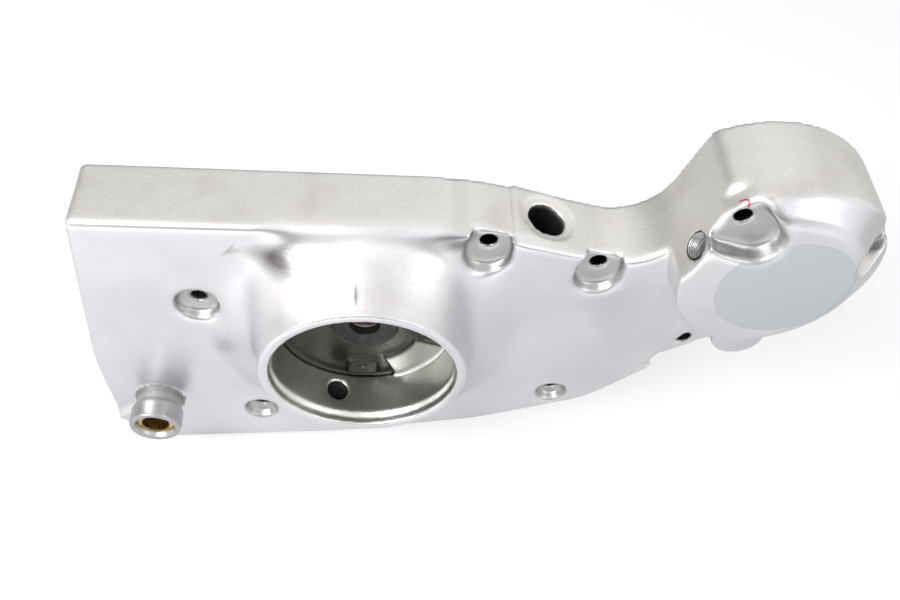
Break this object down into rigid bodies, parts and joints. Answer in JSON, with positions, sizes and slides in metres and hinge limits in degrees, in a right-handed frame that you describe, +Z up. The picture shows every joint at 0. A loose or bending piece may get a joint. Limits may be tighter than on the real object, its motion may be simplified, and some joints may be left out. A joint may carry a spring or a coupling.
{
  "type": "cam cover",
  "caption": "Polished cast-aluminium cam cover of an older V-twin motorcycle, with a round contact-breaker housing and a domed gear housing.",
  "frame": {"origin": "on the axis of the large round housing, in the gasket plane, at the engine end of the cam bush there", "axes": "+X along the cover towards the gear housing, +Z up along the plan as fitted, +Y towards the engine, so the polished face looks along -Y"},
  "size_m": [0.3283, 0.058, 0.1979],
  "materials": {
    "casting": "polished",
    "bush": "satin",
    "seal": "matte"
  },
  "bodies": {
    "root": {"cover_casting": "casting", "cam_bush_one": "bush", "cam_bush_two": "bush", "cam_bush_three": "bush", "cam_bush_four": "bush", "pinion_bush": "bush", "idler_bush": "bush", "shift_shaft_bush": "bush", "cam_shaft_seal": "seal"}
  },
  "joints": []
}
